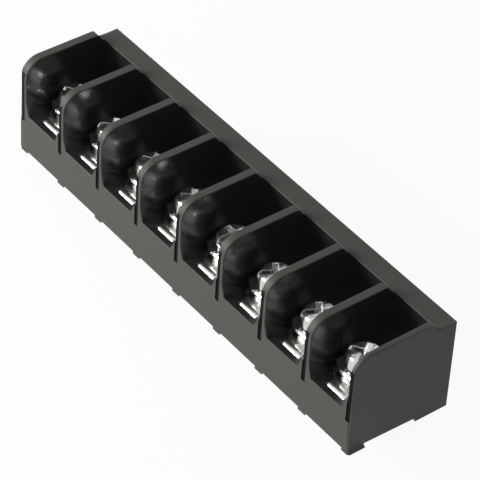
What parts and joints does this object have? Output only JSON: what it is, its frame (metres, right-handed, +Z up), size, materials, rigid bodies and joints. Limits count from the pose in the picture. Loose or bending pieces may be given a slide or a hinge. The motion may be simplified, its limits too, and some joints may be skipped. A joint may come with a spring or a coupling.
{
  "type": "barrier terminal block",
  "caption": "Barrier terminal block for a circuit board: a moulded row of open compartments, each with a folded terminal and solder pin, a wire clamp and a screw.",
  "frame": {"origin": "the middle of the row of solder pins, on the plane of the board that the feet stand on", "axes": "+X along the row, -Y towards the wire side, +Z up from the board"},
  "size_m": [0.0775, 0.0171, 0.02],
  "materials": {
    "housing": "finely textured black moulding, smooth inside the compartments",
    "terminal": "tin plated",
    "clamp": "nickel plated",
    "screw": "nickel plated"
  },
  "bodies": {
    "block": {"housing": "housing", "terminal_1": "terminal", "terminal_2": "terminal", "terminal_3": "terminal", "terminal_4": "terminal", "terminal_5": "terminal", "terminal_6": "terminal", "terminal_7": "terminal", "terminal_8": "terminal"},
    "clamp_1": {"clamp_1": "clamp"},
    "screw_1": {"screw_1": "screw"},
    "clamp_2": {"clamp_2": "clamp"},
    "screw_2": {"screw_2": "screw"},
    "clamp_3": {"clamp_3": "clamp"},
    "screw_3": {"screw_3": "screw"},
    "clamp_4": {"clamp_4": "clamp"},
    "screw_4": {"screw_4": "screw"},
    "clamp_5": {"clamp_5": "clamp"},
    "screw_5": {"screw_5": "screw"},
    "clamp_6": {"clamp_6": "clamp"},
    "screw_6": {"screw_6": "screw"},
    "clamp_7": {"clamp_7": "clamp"},
    "screw_7": {"screw_7": "screw"},
    "clamp_8": {"clamp_8": "clamp"},
    "screw_8": {"screw_8": "screw"}
  },
  "joints": [
    {"name": "clamp_1_lift", "type": "slide", "parent": "block", "child": "clamp_1", "axis": [0, 0, 1], "range_m": [0, 0.003]},
    {"name": "screw_1_turn", "type": "hinge", "parent": "clamp_1", "child": "screw_1", "pos_m": [-0.03325, -0.00425, 0.00878], "axis": [0, 0, 1], "range_deg": [0, 1800]},
    {"name": "clamp_2_lift", "type": "slide", "parent": "block", "child": "clamp_2", "axis": [0, 0, 1], "range_m": [0, 0.003]},
    {"name": "screw_2_turn", "type": "hinge", "parent": "clamp_2", "child": "screw_2", "pos_m": [-0.02375, -0.00425, 0.00878], "axis": [0, 0, 1], "range_deg": [0, 1800]},
    {"name": "clamp_3_lift", "type": "slide", "parent": "block", "child": "clamp_3", "axis": [0, 0, 1], "range_m": [0, 0.003]},
    {"name": "screw_3_turn", "type": "hinge", "parent": "clamp_3", "child": "screw_3", "pos_m": [-0.01425, -0.00425, 0.00878], "axis": [0, 0, 1], "range_deg": [0, 1800]},
    {"name": "clamp_4_lift", "type": "slide", "parent": "block", "child": "clamp_4", "axis": [0, 0, 1], "range_m": [0, 0.003]},
    {"name": "screw_4_turn", "type": "hinge", "parent": "clamp_4", "child": "screw_4", "pos_m": [-0.00475, -0.00425, 0.00878], "axis": [0, 0, 1], "range_deg": [0, 1800]},
    {"name": "clamp_5_lift", "type": "slide", "parent": "block", "child": "clamp_5", "axis": [0, 0, 1], "range_m": [0, 0.003]},
    {"name": "screw_5_turn", "type": "hinge", "parent": "clamp_5", "child": "screw_5", "pos_m": [0.00475, -0.00425, 0.00878], "axis": [0, 0, 1], "range_deg": [0, 1800]},
    {"name": "clamp_6_lift", "type": "slide", "parent": "block", "child": "clamp_6", "axis": [0, 0, 1], "range_m": [0, 0.003]},
    {"name": "screw_6_turn", "type": "hinge", "parent": "clamp_6", "child": "screw_6", "pos_m": [0.01425, -0.00425, 0.00878], "axis": [0, 0, 1], "range_deg": [0, 1800]},
    {"name": "clamp_7_lift", "type": "slide", "parent": "block", "child": "clamp_7", "axis": [0, 0, 1], "range_m": [0, 0.003]},
    {"name": "screw_7_turn", "type": "hinge", "parent": "clamp_7", "child": "screw_7", "pos_m": [0.02375, -0.00425, 0.00878], "axis": [0, 0, 1], "range_deg": [0, 1800]},
    {"name": "clamp_8_lift", "type": "slide", "parent": "block", "child": "clamp_8", "axis": [0, 0, 1], "range_m": [0, 0.003]},
    {"name": "screw_8_turn", "type": "hinge", "parent": "clamp_8", "child": "screw_8", "pos_m": [0.03325, -0.00425, 0.00878], "axis": [0, 0, 1], "range_deg": [0, 1800]}
  ],
  "couplings": [
    {"joint": "screw_1_turn", "follows": "clamp_1_lift", "rad_per_m": 10472},
    {"joint": "screw_2_turn", "follows": "clamp_2_lift", "rad_per_m": 10472},
    {"joint": "screw_3_turn", "follows": "clamp_3_lift", "rad_per_m": 10472},
    {"joint": "screw_4_turn", "follows": "clamp_4_lift", "rad_per_m": 10472},
    {"joint": "screw_5_turn", "follows": "clamp_5_lift", "rad_per_m": 10472},
    {"joint": "screw_6_turn", "follows": "clamp_6_lift", "rad_per_m": 10472},
    {"joint": "screw_7_turn", "follows": "clamp_7_lift", "rad_per_m": 10472},
    {"joint": "screw_8_turn", "follows": "clamp_8_lift", "rad_per_m": 10472}
  ]
}
